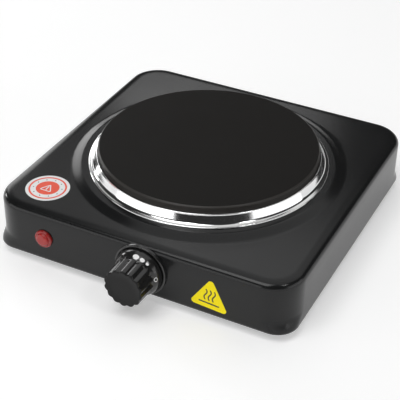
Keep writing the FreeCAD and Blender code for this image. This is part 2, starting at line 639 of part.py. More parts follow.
# ---------------------------------------------------------------- labels
label_sheet = 0.2
round_label_radius = 17.6
round_label_x, round_label_y = -94.6, mid_y - 94.6
nodes["round_label"] = rod(round_label_radius, V(round_label_x, round_label_y, deck_z), label_sheet)
triangle_x, triangle_height = 63.9, 19.4
triangle_side = 33.0
corner = 2.6
inner_circle = triangle_side / (2 * math.sqrt(3))
reach = 2 * inner_circle - 2 * corner
spots = []
for k in range(3):
    angle = math.pi / 2 + k * 2 * math.pi / 3 - math.radians(4)
    spots.append(V(triangle_x + reach * math.cos(angle), front_y - label_sheet,
                   wall_bottom + triangle_height - 4.5 + reach * math.sin(angle)))
triangle = Part.Face(Part.makePolygon(spots + spots[:1])).extrude(V(0, label_sheet, 0))
for a, b in zip(spots, spots[1:] + spots[:1]):
    along = b - a
    out = Y_AXIS.cross(along).normalize() * corner
    band = Part.Face(Part.makePolygon([a - out, b - out, b + out, a + out, a - out]))
    triangle = triangle.fuse(band.extrude(V(0, label_sheet, 0))).fuse(rod(corner, a, label_sheet, Y_AXIS))
nodes["triangle_label"] = triangle.removeSplitter()

# ---------------------------------------------------------------- export
total = None
for name, shape in nodes.items():
    if not shape.isValid():
        print("INVALID", name)
    shape.exportStep("parts/" + name + ".step")
    total = shape.BoundBox if total is None else total.united(shape.BoundBox)
print(len(nodes), "nodes", round(total.XLength, 1), round(total.YLength, 1), round(total.ZLength, 1))
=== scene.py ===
import math
import bmesh
import bpy
from mathutils import Matrix, Vector


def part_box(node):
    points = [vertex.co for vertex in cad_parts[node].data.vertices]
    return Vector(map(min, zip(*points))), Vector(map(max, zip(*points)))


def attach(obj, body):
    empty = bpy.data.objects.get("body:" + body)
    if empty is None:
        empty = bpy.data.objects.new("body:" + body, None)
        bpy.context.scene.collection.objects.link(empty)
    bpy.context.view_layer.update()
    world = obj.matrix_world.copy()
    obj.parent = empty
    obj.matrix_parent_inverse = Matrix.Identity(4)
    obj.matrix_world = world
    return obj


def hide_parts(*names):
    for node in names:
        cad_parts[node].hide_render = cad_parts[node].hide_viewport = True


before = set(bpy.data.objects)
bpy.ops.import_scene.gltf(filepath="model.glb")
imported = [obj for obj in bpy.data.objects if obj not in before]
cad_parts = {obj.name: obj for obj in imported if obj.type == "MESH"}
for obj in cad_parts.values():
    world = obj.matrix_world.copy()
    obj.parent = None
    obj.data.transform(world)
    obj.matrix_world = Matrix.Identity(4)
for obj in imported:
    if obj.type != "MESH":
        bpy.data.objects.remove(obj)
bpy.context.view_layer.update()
print("frame loaded:", len(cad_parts), "nodes")

mm = 0.001
housingLow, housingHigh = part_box("housing_shell")
plateLow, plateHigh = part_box("hot_plate")
ringLow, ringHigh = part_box("spill_ring")
dialLow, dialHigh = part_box("dial_plate")
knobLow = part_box("knob")[0]
shaftLow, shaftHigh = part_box("thermostat_shaft")
lensLow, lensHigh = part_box("pilot_lens")
bodyCentre = (housingLow + housingHigh) / 2
plateAxis = Vector(((plateLow.x + plateHigh.x) / 2, (plateLow.y + plateHigh.y) / 2, 0))
panelY = housingLow.y
knobAxis = Vector(((shaftLow.x + shaftHigh.x) / 2, panelY, (shaftLow.z + shaftHigh.z) / 2))
lensAxis = Vector(((lensLow.x + lensHigh.x) / 2, panelY, (lensLow.z + lensHigh.z) / 2))


def linkObject(name, data):
    made = bpy.data.objects.new(name, data)
    bpy.context.scene.collection.objects.link(made)
    return made


# ---- camera: on the front right, looking down

cameraPlan = {"azimuth": 26.29, "elevation": 34.63, "roll": 0.94, "sensor": 36, "lens": 102.69,
              "distance": 0.9585, "slideRight": -0.00658, "slideUp": 0.00381}


def placeCamera(plan):
    a, e, roll = (math.radians(plan[k]) for k in ("azimuth", "elevation", "roll"))
    back = Vector((math.sin(a) * math.cos(e), -math.cos(a) * math.cos(e), math.sin(e)))
    flatRight = Vector((math.cos(a), math.sin(a), 0))
    flatUp = back.cross(flatRight)
    right = flatRight * math.cos(roll) + flatUp * math.sin(roll)
    up = flatUp * math.cos(roll) - flatRight * math.sin(roll)
    target = Vector((bodyCentre.x, bodyCentre.y, housingLow.z))
    spot = target + back * plan["distance"] + right * plan["slideRight"] + up * plan["slideUp"]
    data = bpy.data.cameras.new("camera")
    data.sensor_width = plan["sensor"]
    data.lens = plan["lens"]
    camera = linkObject("camera", data)
    camera.matrix_world = Matrix.Translation(spot) @ Matrix((right, up, back)).transposed().to_4x4()
    bpy.context.scene.camera = camera


placeCamera(cameraPlan)
print("camera placed")

# ---- node helpers


def addNode(tree, kind, values=None, **settings):
    node = tree.nodes.new(kind)
    for key, value in settings.items():
        setattr(node, key, value)
    for key, value in (values or {}).items():
        if isinstance(value, bpy.types.NodeSocket):
            tree.links.new(value, node.inputs[key])
        else:
            node.inputs[key].default_value = value
    return node


def newGroup(name, inputs, outputs):
    group = bpy.data.node_groups.new(name, "ShaderNodeTree")
    for label, kind, value in inputs:
        socket = group.interface.new_socket(label, in_out="INPUT", socket_type="NodeSocket" + kind)
        socket.default_value = value
    for label, kind in outputs:
        group.interface.new_socket(label, in_out="OUTPUT", socket_type="NodeSocket" + kind)
    return group, addNode(group, "NodeGroupInput"), addNode(group, "NodeGroupOutput")


# uneven tone and fine relief of a sprayed, cast or moulded skin
def makeSkinGroup():
    group, given, out = newGroup("skin", [
        ("Dark", "Color", (0, 0, 0, 1)), ("Light", "Color", (1, 1, 1, 1)),
        ("Cloud Scale", "Float", 20.0), ("Grain Scale", "Float", 900.0),
        ("Rough Low", "Float", 0.3), ("Rough High", "Float", 0.5)],
        [("Color", "Color"), ("Roughness", "Float"), ("Height", "Float")])
    place = addNode(group, "ShaderNodeTexCoord").outputs["Object"]
    cloud = addNode(group, "ShaderNodeTexNoise", {"Vector": place, "Scale": given.outputs["Cloud Scale"],
                                                  "Detail": 4.0, "Roughness": 0.6})
    grain = addNode(group, "ShaderNodeTexNoise", {"Vector": place, "Scale": given.outputs["Grain Scale"],
                                                  "Detail": 2.0, "Roughness": 0.5})
    both = addNode(group, "ShaderNodeMath", {0: cloud.outputs[0], 1: grain.outputs[0]}, operation="ADD")
    half = addNode(group, "ShaderNodeMath", {0: both.outputs[0], 1: 0.5}, operation="MULTIPLY")
    tone = addNode(group, "ShaderNodeMapRange", {"Value": half.outputs[0], "From Min": 0.3, "From Max": 0.7})
    mix = addNode(group, "ShaderNodeMix", {"Factor": tone.outputs[0], 6: given.outputs["Dark"],
                                           7: given.outputs["Light"]}, data_type="RGBA")
    rough = addNode(group, "ShaderNodeMapRange", {
        "Value": cloud.outputs[0], "From Min": 0.3, "From Max": 0.7,
        "To Min": given.outputs["Rough Low"], "To Max": given.outputs["Rough High"]})
    group.links.new(mix.outputs[2], out.inputs["Color"])
    group.links.new(rough.outputs[0], out.inputs["Roughness"])
    group.links.new(grain.outputs[0], out.inputs["Height"])
    return group


# rubbed spots, as a mask from 0 to 1
def makeWearGroup():
    group, given, out = newGroup("wear", [
        ("Scale", "Float", 60.0), ("Amount", "Float", 0.1)], [("Mask", "Float")])
    place = addNode(group, "ShaderNodeTexCoord").outputs["Object"]
    patch = addNode(group, "ShaderNodeTexNoise", {"Vector": place, "Scale": given.outputs["Scale"],
                                                  "Detail": 6.0, "Roughness": 0.7})
    edge = addNode(group, "ShaderNodeMath", {0: 0.75, 1: given.outputs["Amount"]}, operation="SUBTRACT")
    mask = addNode(group, "ShaderNodeMapRange", {"Value": patch.outputs[0], "From Min": edge.outputs[0],
                                                 "From Max": 0.8}, interpolation_type="SMOOTHSTEP")
    group.links.new(mask.outputs[0], out.inputs["Mask"])
    return group


skinGroup = makeSkinGroup()
wearGroup = makeWearGroup()


def newMaterial(name, shader):
    material = bpy.data.materials.new(name)
    material.use_nodes = True
    tree = material.node_tree
    principled = tree.nodes["Principled BSDF"]
    for key, value in shader.items():
        principled.inputs[key].default_value = value
    return material, tree, principled


def grey(value, warmth=0.0):
    return (value * (1 + warmth), value, value * (1 - warmth), 1)


# tones, roughness and relief come from the group; wear is its scale, amount and colour
def skinMaterial(name, dark, light, cloud, grain, roughLow, roughHigh, relief, depth, shader=None, wear=None):
    material, tree, principled = newMaterial(name, shader or {})
    skin = addNode(tree, "ShaderNodeGroup", {"Dark": dark, "Light": light, "Cloud Scale": cloud,
                                             "Grain Scale": grain, "Rough Low": roughLow,
                                             "Rough High": roughHigh}, node_tree=skinGroup)
    color = skin.outputs["Color"]
    if wear:
        scale, amount, bare = wear
        rubbed = addNode(tree, "ShaderNodeGroup", {"Scale": scale, "Amount": amount}, node_tree=wearGroup)
        color = addNode(tree, "ShaderNodeMix", {"Factor": rubbed.outputs["Mask"], 6: color, 7: bare},
                        data_type="RGBA").outputs[2]
    bump = addNode(tree, "ShaderNodeBump", {"Height": skin.outputs["Height"], "Strength": relief,
                                            "Distance": depth})
    tree.links.new(color, principled.inputs["Base Color"])
    tree.links.new(skin.outputs["Roughness"], principled.inputs["Roughness"])
    tree.links.new(bump.outputs["Normal"], principled.inputs["Normal"])
    return material


# dark and light tone, scale of clouds and grain, span of roughness, relief, its depth, the shader's own values
metal = {"Metallic": 1.0}
skins = {
    "blackPaint": (grey(0.0085, -0.03), grey(0.0100, -0.03), 9.0, 700.0, 0.17, 0.21, 0.04, 0.0003,
                   {"IOR": 1.38}),
    "castIron": (grey(0.0105, 0.08), grey(0.0125, 0.08), 30.0, 2600.0, 0.62, 0.68, 0.2, 0.0002,
                 {"Specular IOR Level": 0.10}),
    "knobBlack": (grey(0.010), grey(0.013), 60.0, 1500.0, 0.16, 0.24, 0.03, 0.0001, {"Coat Weight": 0.2}),
    "knobMatt": (grey(0.007), grey(0.009), 60.0, 2400.0, 0.4, 0.5, 0.15, 0.0002, {"Specular IOR Level": 0.22}),
    # lighter iron for the hot plate's chamfer and side, a painted highlight
    "ironPaintedHighlight": (grey(0.021, 0.1), grey(0.026, 0.1), 90.0, 2600.0, 0.36, 0.46, 0.2, 0.0002,
                   {"Specular IOR Level": 0.35}),
    "rubberBlack": (grey(0.018), grey(0.03), 80.0, 1800.0, 0.7, 0.85, 0.3, 0.0003),
    "zincSheet": (grey(0.38, -0.01), grey(0.52, -0.01), 45.0, 1200.0, 0.34, 0.5, 0.08, 0.0002,
                  metal, (300.0, 0.08, grey(0.62))),
    "plainSteel": (grey(0.42), grey(0.55), 90.0, 1500.0, 0.25, 0.38, 0.05, 0.0001, metal),
    "darkSteel": (grey(0.16), grey(0.26), 90.0, 1500.0, 0.35, 0.5, 0.05, 0.0001, metal),
    "brass": ((0.52, 0.36, 0.13, 1), (0.66, 0.48, 0.2, 1), 90.0, 1500.0, 0.28, 0.42, 0.05, 0.0001, metal),
    "steatite": ((0.62, 0.58, 0.5, 1), (0.72, 0.69, 0.62, 1), 120.0, 2200.0, 0.6, 0.75, 0.15, 0.0002),
    "magnesia": ((0.35, 0.33, 0.3, 1), (0.5, 0.48, 0.45, 1), 150.0, 1800.0, 0.85, 0.95, 0.5, 0.0004),
    "whiteNylon": ((0.6, 0.59, 0.55, 1), (0.68, 0.67, 0.63, 1), 60.0, 1400.0, 0.4, 0.5, 0.05, 0.0002,
                   {"Subsurface Weight": 0.1, "Subsurface Radius": (0.002, 0.002, 0.002)}),
    "sleeveRed": ((0.28, 0.02, 0.015, 1), (0.36, 0.04, 0.03, 1), 200.0, 2500.0, 0.5, 0.65, 0.3, 0.0002),
    "sleeveBlue": ((0.02, 0.06, 0.25, 1), (0.03, 0.09, 0.32, 1), 200.0, 2500.0, 0.45, 0.6, 0.2, 0.0002),
    "sleeveWhite": ((0.55, 0.52, 0.45, 1), (0.68, 0.65, 0.58, 1), 300.0, 2800.0, 0.7, 0.85, 0.5, 0.0003),
    "sleeveGreen": ((0.12, 0.3, 0.04, 1), (0.4, 0.42, 0.04, 1), 60.0, 2500.0, 0.45, 0.6, 0.2, 0.0002),
    "labelWhite": (grey(0.86), grey(0.90), 60.0, 900.0, 0.3, 0.4, 0.02, 0.0001, {"Coat Weight": 0.2}),
    "labelRed": ((0.86, 0.075, 0.03, 1), (0.92, 0.10, 0.045, 1), 60.0, 900.0, 0.3, 0.4, 0.02, 0.0001,
                 {"Coat Weight": 0.2}),
    "labelYellow": ((0.95, 0.76, 0.0, 1), (0.98, 0.82, 0.002, 1), 60.0, 900.0, 0.4, 0.5, 0.02, 0.0001,
                    {"Specular IOR Level": 0.2}),
    "labelBlack": (grey(0.015), grey(0.02), 60.0, 900.0, 0.35, 0.45, 0.02, 0.0001),
    "markWhite": (grey(0.82), grey(0.88), 60.0, 900.0, 0.35, 0.45, 0.02, 0.0001),
}
looks = {name: skinMaterial(name, *skin) for name, skin in skins.items()}


# polished ring: faint turning lines round the plate's axis and a few soft smears
def makeChrome():
    material, tree, principled = newMaterial("chrome", {"Metallic": 1.0, "IOR": 2.5})
    place = addNode(tree, "ShaderNodeTexCoord").outputs["Object"]
    centred = addNode(tree, "ShaderNodeMapping", {"Vector": place, "Location": -plateAxis})
    apart = addNode(tree, "ShaderNodeSeparateXYZ", {0: centred.outputs[0]})
    flat = addNode(tree, "ShaderNodeCombineXYZ", {0: apart.outputs[0], 1: apart.outputs[1]})
    radius = addNode(tree, "ShaderNodeVectorMath", {0: flat.outputs[0]}, operation="LENGTH")
    turns = addNode(tree, "ShaderNodeCombineXYZ", {0: radius.outputs["Value"], 1: apart.outputs[2]})
    lines = addNode(tree, "ShaderNodeTexNoise", {"Vector": turns.outputs[0], "Scale": 3000.0, "Detail": 2.0})
    smear = addNode(tree, "ShaderNodeTexNoise", {"Vector": place, "Scale": 26.0, "Detail": 3.0})
    rough = addNode(tree, "ShaderNodeMapRange", {"Value": smear.outputs[0], "From Min": 0.35, "From Max": 0.7,
                                                 "To Min": 0.05, "To Max": 0.13})
    tone = addNode(tree, "ShaderNodeMix", {"Factor": smear.outputs[0], 6: grey(0.80), 7: grey(0.88)},
                   data_type="RGBA")
    speckle = addNode(tree, "ShaderNodeTexNoise", {"Vector": place, "Scale": 1500.0, "Detail": 2.0})
    relief = addNode(tree, "ShaderNodeMath", {0: lines.outputs[0], 1: speckle.outputs[0]}, operation="ADD")
    bump = addNode(tree, "ShaderNodeBump", {"Height": relief.outputs[0], "Strength": 0.2, "Distance": 0.00006})
    tree.links.new(tone.outputs[2], principled.inputs["Base Color"])
    tree.links.new(rough.outputs[0], principled.inputs["Roughness"])
    tree.links.new(bump.outputs["Normal"], principled.inputs["Normal"])
    return material


# red moulded lens, clear enough for the lamp behind it to show
def makeLensRed():
    material, tree, principled = newMaterial("lensRed", {
        "IOR": 1.49, "Transmission Weight": 0.55, "Coat Weight": 0.3, "Coat Roughness": 0.05})
    skin = addNode(tree, "ShaderNodeGroup", {"Dark": (0.55, 0.012, 0.01, 1), "Light": (0.68, 0.03, 0.025, 1),
                                             "Cloud Scale": 120.0, "Grain Scale": 900.0, "Rough Low": 0.1,
                                             "Rough High": 0.2}, node_tree=skinGroup)
    tree.links.new(skin.outputs["Color"], principled.inputs["Base Color"])
    tree.links.new(skin.outputs["Roughness"], principled.inputs["Roughness"])
    return material


def makeLampGlass():
    material, tree, principled = newMaterial("lampGlass", {
        "IOR": 1.5, "Transmission Weight": 1.0, "Roughness": 0.03})
    place = addNode(tree, "ShaderNodeTexCoord").outputs["Object"]
    smoke = addNode(tree, "ShaderNodeTexNoise", {"Vector": place, "Scale": 300.0})
    tint = addNode(tree, "ShaderNodeMix", {"Factor": smoke.outputs[0], 6: (1, 0.86, 0.8, 1),
                                           7: (1, 0.95, 0.92, 1)}, data_type="RGBA")
    tree.links.new(tint.outputs[2], principled.inputs["Base Color"])
    return material


looks["chrome"], looks["lensRed"], looks["lampGlass"] = makeChrome(), makeLensRed(), makeLampGlass()
print("materials made")

# ---- mesh helpers


def drawMesh(name, fill):
    mesh = bpy.data.meshes.new(name)
    work = bmesh.new()
    fill(work)
    bmesh.ops.recalc_face_normals(work, faces=work.faces)
    work.to_mesh(mesh)
    work.free()
    return mesh


# fill draws the piece in an empty mesh; looks are named in the order of the faces' material numbers
def makePiece(name, body, replaced, lookNames, fill, sharp):
    mesh = drawMesh(name, fill)
    mesh.shade_smooth()
    mesh.set_sharp_from_angle(angle=math.radians(sharp))
    for look in lookNames:
        mesh.materials.append(looks[look])
    piece = linkObject(name, mesh)
    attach(piece, body)
    if replaced:
        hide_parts(*replaced)
    return piece


# corners with a rounding become short arcs; a corner is (radius from the axis, height, rounding)
def rounded(corners, closed=False, steps=5):
    path = []
    count = len(corners)
    for k, (r, h, soft) in enumerate(corners):
        here = Vector((r, h))
        if soft == 0 or (not closed and k in (0, count - 1)):
            path.append(here)
            continue
        before = Vector(corners[k - 1][:2]) - here
        after = Vector(corners[(k + 1) % count][:2]) - here
        start, end = here + before.normalized() * soft, here + after.normalized() * soft
        for step in range(steps + 1):
            t = step / steps
            path.append(start * (1 - t) ** 2 + here * (2 * t * (1 - t)) + end * t ** 2)
    return path


# a stack of rings becomes a skin; a ring of one point is a pole
def bridge(work, rings, material=0, closedStack=False):
    pairs = list(zip(rings, rings[1:]))
    if closedStack:
        pairs.append((rings[-1], rings[0]))
    for low, high in pairs:
        count = max(len(low), len(high))
        for k in range(count):
            n = (k + 1) % count
            if len(low) == 1:
                corners = (low[0], high[n], high[k])
            elif len(high) == 1:
                corners = (low[k], low[n], high[0])
            else:
                corners = (low[k], low[n], high[n], high[k])
            work.faces.new(corners).material_index = material


def circle(radius, count=72, middle=(0, 0)):
    angles = [2 * math.pi * k / count for k in range(count)]
    return [(middle[0] + radius * math.cos(a), middle[1] + radius * math.sin(a)) for a in angles]


# turns a path of (radius, height) round an upright axis, or one that points at the cook
def lathe(work, path, centre, towardsCook=False, count=192, closed=True):
    rings = []
    for r, h in path:
        points = circle(r, count) if r > 1e-7 else [(0, 0)]
        rings.append([work.verts.new(centre + Vector((x, -h, y) if towardsCook else (x, y, h)))
                      for x, y in points])
    bridge(work, rings, closedStack=closed)


# ---- housing: drawn sheet with a raised round rim and corners that flare out at the foot

housingPlan = {"corner": 26.2 * mm, "footCorner": 17.5 * mm, "flareHeight": 11 * mm, "edge": 5.5 * mm,
               "crown": 5 * mm, "crownTilt": 9, "rise": 2.5 * mm, "ramp": 111.6 * mm, "plateau": 103.7 * mm,
               "opening": 92 * mm, "sheet": 0.8 * mm, "rampSoftness": 0.35, "arcSteps": 16, "sideSteps": 14,
               "flareSteps": 8, "wallShares": (0.35, 0.7, 1.0), "edgeSteps": 8, "crownSteps": 4,
               "deckShares": (0.04, 0.3, 0.6, 0.9, 1.0), "rampSteps": 12, "topRings": (102.8 * mm, 98 * mm)}
deckZ = housingHigh.z - housingPlan["rise"]


# the body's plan, drawn in by an inset, with round corners
def outline(inset, corner):
    plan = housingPlan
    halfW = (housingHigh.x - housingLow.x) / 2 - inset
    halfD = (housingHigh.y - housingLow.y) / 2 - inset
    arcs = []
    for sx, sy, start in ((1, 1, 0), (-1, 1, 90), (-1, -1, 180), (1, -1, 270)):
        middle = Vector((sx * (halfW - corner), sy * (halfD - corner)))
        angles = [math.radians(start + 90 * k / plan["arcSteps"]) for k in range(plan["arcSteps"] + 1)]
        arcs.append([middle + Vector((math.cos(a), math.sin(a))) * corner for a in angles])
    points = []
    for arc, following in zip(arcs, arcs[1:] + arcs[:1]):
        side = [arc[-1].lerp(following[0], k / plan["sideSteps"]) for k in range(1, plan["sideSteps"])]
        points += arc + side
    return points


def ease(t):
    return t * t * (3 - 2 * t)


def fillHousing(work):
    plan, bottom = housingPlan, housingLow.z
    levels = []
    for step in range(plan["flareSteps"] + 1):
        t = step / plan["flareSteps"]
        corner = plan["footCorner"] + (plan["corner"] - plan["footCorner"]) * ease(t)
        levels.append((outline(0, corner), bottom + plan["flareHeight"] * t))
    tilt = math.radians(plan["crownTilt"])
    crownRise = plan["crown"] * math.tan(tilt) / 2
    wallTop = deckZ - crownRise - plan["edge"] * math.cos(tilt)
    for t in plan["wallShares"]:
        z = bottom + plan["flareHeight"] + (wallTop - bottom - plan["flareHeight"]) * t
        levels.append((outline(0, plan["corner"]), z))
    for step in range(1, plan["edgeSteps"] + 1):
        a = (math.pi / 2 - tilt) * step / plan["edgeSteps"]
        inset = plan["edge"] * (1 - math.cos(a))
        levels.append((outline(inset, plan["corner"] - inset), wallTop + plan["edge"] * math.sin(a)))
    for step in range(1, plan["crownSteps"] + 1):
        t = step / plan["crownSteps"]
        across = inset + plan["crown"] * t
        levels.append((outline(across, plan["corner"] - across), deckZ - crownRise * (1 - t) ** 2))
    # from the crown's inner edge the outline eases into a circle, then climbs the ramp to the opening
    shelf = levels[-1][0]
    compass = [p.normalized() for p in shelf]
    for t in plan["deckShares"]:
        levels.append(([p.lerp(c * plan["ramp"], t) for p, c in zip(shelf, compass)], deckZ))
    soft = plan["rampSoftness"]
    for step in range(1, plan["rampSteps"] + 1):
        t = step / plan["rampSteps"]
        radius = plan["ramp"] + (plan["plateau"] - plan["ramp"]) * t
        lift = t * (1 - soft) + soft * ease(t)
        levels.append(([c * radius for c in compass], deckZ + plan["rise"] * lift))
    for radius in (*plan["topRings"], plan["opening"]):
        levels.append(([c * radius for c in compass], housingHigh.z))
    bridge(work, [[work.verts.new((bodyCentre.x + p.x, bodyCentre.y + p.y, z)) for p in points]
                  for points, z in levels])


housing = makePiece("housing", "burner", ["housing_shell"], ["blackPaint"], fillHousing, 50)
thicken = housing.modifiers.new("sheet", "SOLIDIFY")
thicken.thickness = housingPlan["sheet"]
thicken.offset = -1
print("housing made")

# ---- hot plate

platePlan = {"chamfer": 1.2 * mm, "edgeSoft": 0.3 * mm, "shoulder": 7.2 * mm, "neck": 85.6 * mm,
             "bossRadius": 12 * mm, "web": 11.9 * mm, "innerRing": 40 * mm, "sides": 256}
plateRadius = (plateHigh.x - plateLow.x) / 2


def fillPlate(work):
    plan, top = platePlan, plateHigh.z
    shoulder, web = top - plan["shoulder"], top - plan["web"]
    corners = [(0, top, 0), (plan["innerRing"], top, 0), (plateRadius - plan["chamfer"], top, plan["edgeSoft"]),
               (plateRadius, top - plan["chamfer"], plan["edgeSoft"]), (plateRadius, shoulder, 0),
               (plan["neck"], shoulder, 0), (plan["neck"], web, 0), (plan["bossRadius"], web, 0),
               (plan["bossRadius"], plateLow.z, 0), (0, plateLow.z, 0)]
    lathe(work, rounded(corners), plateAxis, closed=False, count=plan["sides"])
    # the chamfer and side take a lighter iron: a painted highlight along the plate's edge
    for face in work.faces:
        middle = face.calc_center_median()
        outside = (middle - plateAxis).xy.length > plateRadius - plan["chamfer"]
        if outside and shoulder < middle.z < top:
            face.material_index = 1


makePiece("hotPlate", "burner", ["hot_plate"], ["castIron", "ironPaintedHighlight"], fillPlate, 30)

# ---- spill ring

# rolled outer rim, hollow flank and a rolled crest beside the plate
ringPlan = {"sheet": 0.5 * mm, "rimHeight": 1.05 * mm, "rim": 0.9 * mm, "ledge": 1.1 * mm,
            "ledgeRise": 0.12 * mm, "hollow": 1.4 * mm, "hollowShare": 0.62, "hollowRise": 0.1 * mm,
            "flankFoot": 1.5 * mm, "flankLean": 2.65 * mm, "crest": 1.5 * mm, "gap": 0.2 * mm,
            "flange": 4.0 * mm, "flangeDrop": 0.02 * mm, "flangeTurn": 0.3 * mm, "rimSteps": 6,
            "hollowSteps": 14, "flankSteps": 6, "crestSteps": 10, "sides": 320}
ringRadius = (ringHigh.x - ringLow.x) / 2


def arcAngles(end, steps):
    return [end * k / steps for k in range(steps + 1)]


def ringPath():
    plan = ringPlan
    rimZ = ringLow.z + plan["rimHeight"]
    crestOut, inner = plateRadius + plan["crest"], plateRadius + plan["gap"]
    half = (crestOut - inner) / 2
    crestBase = ringHigh.z - half
    rim = [(ringRadius - plan["rim"] * (1 - math.cos(a)), rimZ - plan["rim"] * (1 - math.sin(a)))
           for a in arcAngles(math.pi / 2, plan["rimSteps"])]
    ledgeEnd = Vector((ringRadius - plan["rim"] - plan["ledge"], rimZ + plan["ledgeRise"]))
    elbow = ledgeEnd - Vector((plan["hollow"] * plan["hollowShare"], -plan["hollowRise"]))
    foot = Vector((crestOut + plan["flankLean"], rimZ + plan["flankFoot"]))
    top = Vector((crestOut, crestBase))
    hollow = []
    for t in arcAngles(1, plan["hollowSteps"]):
        hollow.append(ledgeEnd * (1 - t) ** 3 + (ledgeEnd + elbow * 2) / 3 * 3 * t * (1 - t) ** 2
                      + (foot + elbow * 2) / 3 * 3 * t * t * (1 - t) + foot * t ** 3)
    flank = [foot.lerp(top, k / plan["flankSteps"]) for k in range(1, plan["flankSteps"])]
    middle = (crestOut + inner) / 2
    crest = [(middle + half * math.cos(a), crestBase + half * math.sin(a))
             for a in arcAngles(math.pi, plan["crestSteps"])]
    flangeZ = plateHigh.z - platePlan["shoulder"] - plan["flangeDrop"]
    tail = [(inner, flangeZ + plan["flangeTurn"]), (inner, flangeZ), (inner - plan["flange"], flangeZ)]
    return [Vector(p) for p in rim + hollow + flank + crest + tail]


# both faces of a bent sheet, as one closed outline
def sheetLoop(path, thickness):
    under = []
    for k, point in enumerate(path):
        along = path[min(k + 1, len(path) - 1)] - path[max(k - 1, 0)]
        normal = Vector((along.y, -along.x)).normalized()
        under.append(point - normal * thickness)
    return path + under[::-1]


def fillRing(work):
    lathe(work, sheetLoop(ringPath(), ringPlan["sheet"]), plateAxis, count=ringPlan["sides"])


makePiece("spillRing", "burner", ["spill_ring"], ["chrome"], fillRing, 60)
print("plate and ring made")

# ---- knob

# skirt, heights, face and inside are in mm; skirt and inside hold (radius, distance from the panel)
knobPlan = {"skirt": [(18.7, 1.6), (19.3, 2.6), (19.3, 5.5), (18.9, 7.6), (17.9, 9.6), (16.3, 11.2),
                      (14.4, 12.4)],
            "heights": [1.6, 2.0, 2.6, 3.5, 4.5, 5.5, 6.5, 7.6, 8.2, 8.8, 9.4, 10.0, 10.5, 11.0, 11.5, 12.0,
                        12.6, 13.4, 15.0, 18.0, 22.0, 25.0, 26.6, 27.0, 27.3, 27.55, 27.75, 27.9, 28.0],
            "face": [(14.2, 0), (13.6, 0.2), (8.0, 0.35)],
            "inside": [(17.2, 1.6), (17.2, 6.0), (15.0, 9.4), (6.5, 9.4), (6.5, 3.2), (3.6, 3.2), (3.6, 23.2),
                       (0, 23.2)],
            "grip": 16.0 * mm, "draft": 0.6 * mm, "gripFrom": 9 * mm, "reach": panelY - knobLow.y, "flutes": 14,
            "fluteDepth": 1.35 * mm, "fluteFrom": 10.5 * mm, "fluteRunOut": 2 * mm, "ribSharpness": 0.6,
            "edge": 1.0 * mm, "faceDepth": 0.8 * mm, "stepsPerFlute": 16}


# a place by its distance from the knob's axis, its angle from the top towards the right, and its reach
def onKnob(radius, angle, reach):
    return knobAxis + Vector((radius * math.sin(angle), -reach, radius * math.cos(angle)))


def skirtRadius(q):
    stations = [(r * mm, h * mm) for r, h in knobPlan["skirt"]]
    for (r0, h0), (r1, h1) in zip(stations, stations[1:]):
        if h0 <= q <= h1:
            return r0 + (r1 - r0) * (q - h0) / (h1 - h0)
    return 0.0


def gripRadius(q, angle):
    plan = knobPlan
    if q <= plan["gripFrom"]:
        return 0.0
    share = min(1, (q - plan["gripFrom"]) / (plan["reach"] - plan["gripFrom"]))
    flute = 1 - (0.5 + 0.5 * math.cos(angle * plan["flutes"])) ** plan["ribSharpness"]
    depth = plan["fluteDepth"] * min(1, max(0, (q - plan["fluteFrom"]) / plan["fluteRunOut"]))
    radius = plan["grip"] + plan["draft"] * (1 - share) - depth * flute
    left = plan["reach"] - q
    if left < plan["edge"]:
        radius -= plan["edge"] * (1 - math.sqrt(max(0, 1 - (1 - left / plan["edge"]) ** 2)))
    return radius


def fillKnob(work):
    plan = knobPlan
    count = plan["flutes"] * plan["stepsPerFlute"]
    angles = [2 * math.pi * k / count for k in range(count)]
    rings = []
    for q in (min(h * mm, plan["reach"]) for h in plan["heights"]):
        rings.append([work.verts.new(onKnob(max(skirtRadius(q), gripRadius(q, a)), a, q)) for a in angles])
    for r, sink in plan["face"]:
        rings.append([work.verts.new(onKnob(r * mm, a, plan["reach"] - sink * mm)) for a in angles])
    rings.append([work.verts.new(onKnob(0, 0, plan["reach"] - plan["face"][-1][1] * mm))])
    hollow = [[work.verts.new(onKnob(r * mm, a, h * mm)) for a in (angles if r else [0])]
              for r, h in plan["inside"]]
    bridge(work, hollow[::-1] + rings)
    for face in work.faces:
        if knobAxis.y - face.calc_center_median().y > plan["reach"] - plan["faceDepth"]:
            face.material_index = 1


makePiece("knobBody", "control_knob", ["knob"], ["knobBlack", "knobMatt"], fillKnob, 35)
print("knob made")

# ---- painted marks on the skirt: three shrinking dots for the heat and a ring for off

# a dot is (angle from the top in degrees, radius in mm); along the skirt's slope a length shrinks by slopeShare
markPlan = {"radius": 18.15 * mm, "reach": 9.5 * mm, "slopeShare": 0.62, "slopeSpan": 0.2 * mm,
            "dots": [(4.0, 2.5), (21.5, 1.95), (36.5, 1.3)], "offAngle": 82, "offOuter": 1.9, "offInner": 1.35,
            "film": 0.05 * mm, "sunk": 0.02 * mm, "sides": 28}


# along runs up the skirt's curved section, in metres from the mark's own height
def skirtPoint(angle, along, lift):
    q, span = markPlan["reach"] + along * markPlan["slopeShare"], markPlan["slopeSpan"]
    slope = (skirtRadius(q + span) - skirtRadius(q - span)) / (2 * span)
    normal = Vector((1, -slope)).normalized()
    return onKnob(skirtRadius(q) + normal.x * lift, angle, q + normal.y * lift)


# a dot where inner is 0, or else a ring whose hole has that share of its size
def fillMark(work, degrees, outer, inner):
    plan, turn = markPlan, math.radians(degrees)
    levels = [(1.0, -plan["sunk"]), (1.0, plan["film"])]
    if inner:
        levels += [(inner, plan["film"]), (inner, -plan["sunk"])]
    rings = []
    for share, lift in levels:
        points = circle(outer * mm * share, plan["sides"])
        rings.append([work.verts.new(skirtPoint(turn + x / plan["radius"], y, lift)) for x, y in points])
    if not inner:
        rings.append([work.verts.new(skirtPoint(turn, 0, plan["film"]))])
    bridge(work, rings, closedStack=bool(inner))


